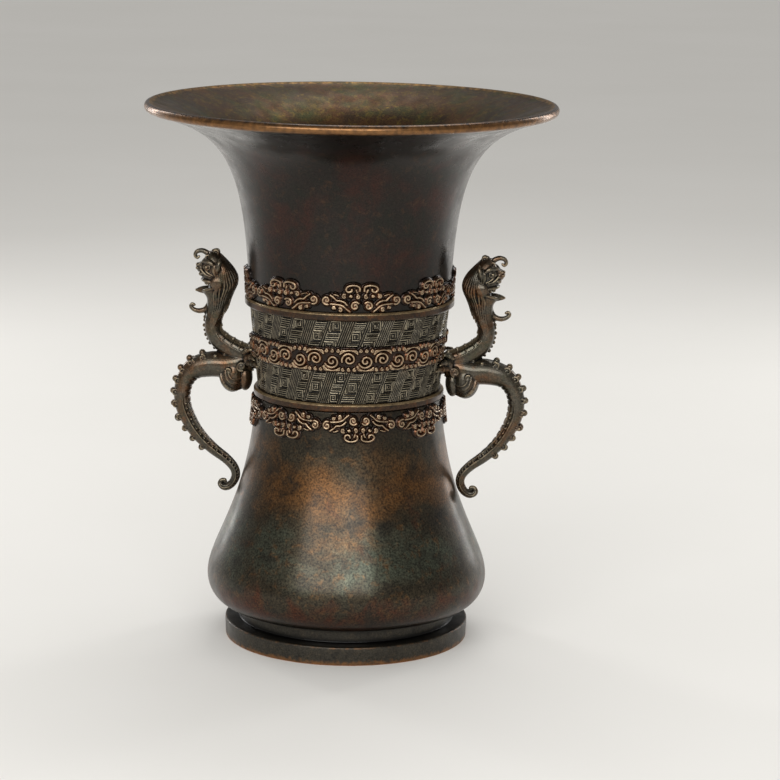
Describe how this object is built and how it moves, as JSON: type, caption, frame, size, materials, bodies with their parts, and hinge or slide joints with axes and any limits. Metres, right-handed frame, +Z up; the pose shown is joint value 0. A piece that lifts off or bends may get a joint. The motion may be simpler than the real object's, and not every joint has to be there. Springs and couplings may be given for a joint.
{
  "type": "hu vase",
  "caption": "Tall cast bronze vase with a pear-shaped belly, a banded waist, a wide trumpet mouth and upright dragon handles.",
  "frame": {"origin": "middle of the foot ring, on the surface that the vase stands on", "axes": "+Z up along the axis of the vase, +X through the right handle as seen in the picture, +Y to the back"},
  "size_m": [0.2172, 0.2172, 0.2877],
  "materials": {
    "dark_bronze": "near-black brown patina, satin",
    "olive_bronze": "mottled olive-brown patina, softly polished",
    "rubbed_bronze": "brown patina rubbed to copper on the raised edges",
    "grey_bronze": "grey-olive patina, satin"
  },
  "bodies": {
    "root": {"foot_ring": "grey_bronze", "base_plate": "dark_bronze", "body_shell": "olive_bronze", "lower_fillet": "rubbed_bronze", "lower_cloud_border": "rubbed_bronze", "waist_shell": "grey_bronze", "waist_belt_front": "rubbed_bronze", "waist_belt_rear": "rubbed_bronze", "upper_fillet": "rubbed_bronze", "upper_cloud_border": "rubbed_bronze", "neck_trumpet": "dark_bronze", "right_dragon_handle": "grey_bronze", "left_dragon_handle": "grey_bronze", "right_handle_rivet": "dark_bronze", "left_handle_rivet": "dark_bronze", "right_rivet_washer": "dark_bronze", "left_rivet_washer": "dark_bronze"}
  },
  "joints": []
}
